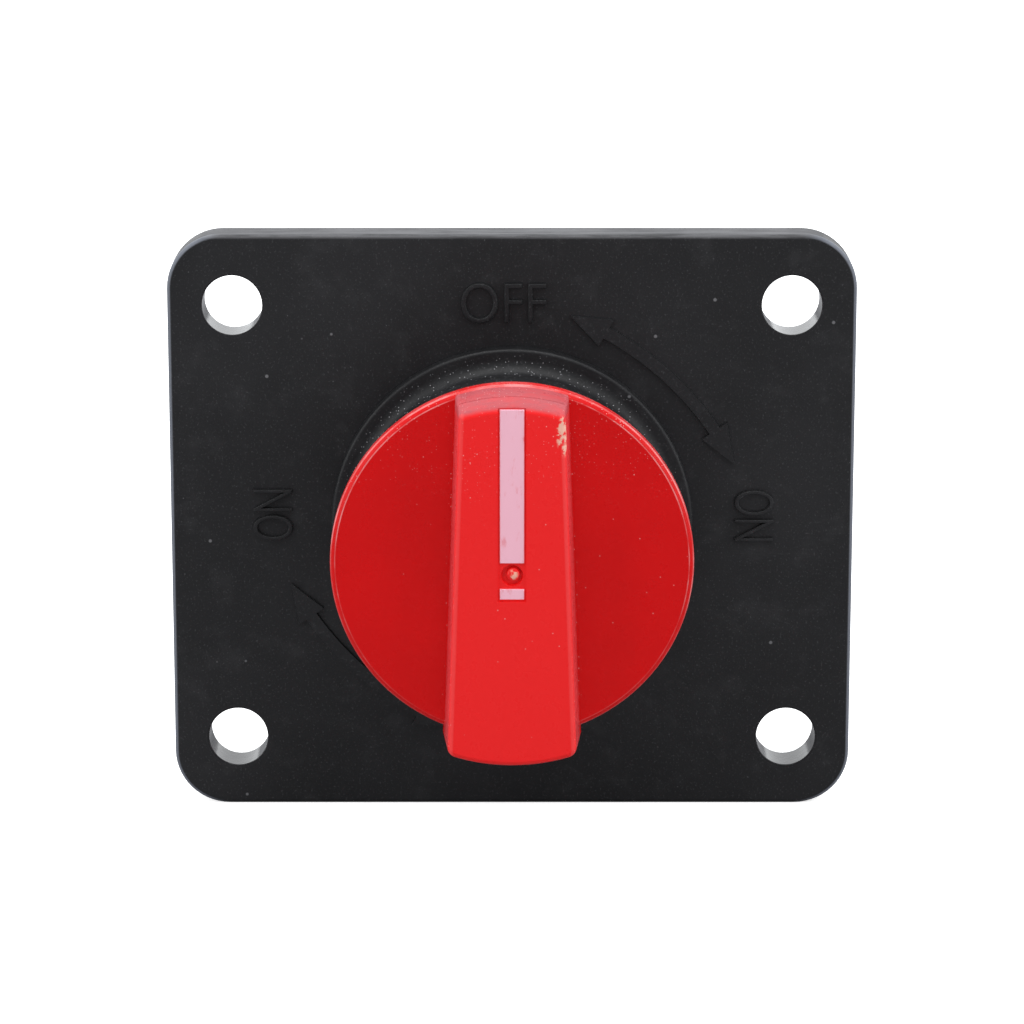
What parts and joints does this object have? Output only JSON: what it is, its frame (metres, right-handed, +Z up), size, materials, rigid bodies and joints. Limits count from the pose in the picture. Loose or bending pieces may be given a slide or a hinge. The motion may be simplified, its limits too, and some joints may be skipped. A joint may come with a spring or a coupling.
{
  "type": "battery switch",
  "caption": "Panel-mounted rotary battery isolator: black plate and collar, red grip knob with a pointer, round rear housing with two threaded terminals.",
  "frame": {"origin": "on the knob's axis, in the plane of the face plate's rear surface, which lies against the panel", "axes": "+Y along the knob's axis, into the panel and towards the terminals; +Z up; +X to the right seen from the front"},
  "size_m": [0.07, 0.078, 0.06],
  "materials": {
    "plate_plastic": "fine-grained charcoal moulded plastic",
    "housing_plastic": "black moulded plastic",
    "knob_plastic": "semi-gloss red moulded plastic",
    "pointer_paint": "thin white paint over red",
    "gasket_rubber": "flat nitrile gasket",
    "seal_rubber": "nitrile O-ring",
    "bush_brass": "turned brass",
    "insert_brass": "turned brass",
    "spindle_brass": "drawn brass",
    "thrust_acetal": "natural acetal",
    "cam_acetal": "natural acetal",
    "sleeve_acetal": "natural acetal",
    "carrier_plastic": "glass-filled thermoset",
    "screw_steel": "zinc-plated steel",
    "washer_steel": "zinc-plated steel",
    "lock_washer_steel": "zinc-plated spring steel",
    "nut_steel": "zinc-plated steel",
    "spring_steel": "bare spring steel",
    "stud_copper": "tin-plated brass",
    "bar_copper": "bare copper",
    "tip_silver": "silver alloy"
  },
  "bodies": {
    "housing": {"face_plate": "plate_plastic", "spindle_bush": "bush_brass", "spindle_seal": "seal_rubber", "detent_spring_left": "spring_steel", "detent_spring_right": "spring_steel", "housing_gasket": "gasket_rubber", "rear_housing": "housing_plastic", "housing_screw_1": "screw_steel", "housing_screw_2": "screw_steel", "housing_screw_3": "screw_steel", "housing_screw_4": "screw_steel", "terminal_stud_left": "stud_copper", "stud_seal_left": "seal_rubber", "clamp_washer_left": "washer_steel", "clamp_nut_left": "nut_steel", "lug_washer_left": "washer_steel", "lock_washer_left": "lock_washer_steel", "terminal_nut_left": "nut_steel", "terminal_stud_right": "stud_copper", "stud_seal_right": "seal_rubber", "clamp_washer_right": "washer_steel", "clamp_nut_right": "nut_steel", "lug_washer_right": "washer_steel", "lock_washer_right": "lock_washer_steel", "terminal_nut_right": "nut_steel"},
    "rotor": {"knob": "knob_plastic", "pointer_line": "pointer_paint", "pointer_tail": "pointer_paint", "knob_insert": "insert_brass", "spindle": "spindle_brass", "thrust_washer": "thrust_acetal", "detent_cam": "cam_acetal", "spacer_sleeve": "sleeve_acetal", "contact_carrier": "carrier_plastic", "knob_screw": "screw_steel", "knob_screw_washer": "washer_steel", "contact_spring_upper": "spring_steel", "contact_spring_lower": "spring_steel"},
    "contact": {"contact_bar": "bar_copper", "contact_tip_upper": "tip_silver", "contact_tip_lower": "tip_silver"}
  },
  "joints": [
    {"name": "knob_turn", "type": "hinge", "parent": "housing", "child": "rotor", "pos_m": [0, 0, 0], "axis": [0, 1, 0], "range_deg": [0, 90], "deforming": ["detent_spring_left", "detent_spring_right"]},
    {"name": "contact_press", "type": "slide", "parent": "rotor", "child": "contact", "axis": [0, 1, 0], "range_m": [-0.001, 0], "stiffness_N_per_m": 1500, "springref_m": 0.003, "deforming": ["contact_spring_upper", "contact_spring_lower"]}
  ]
}
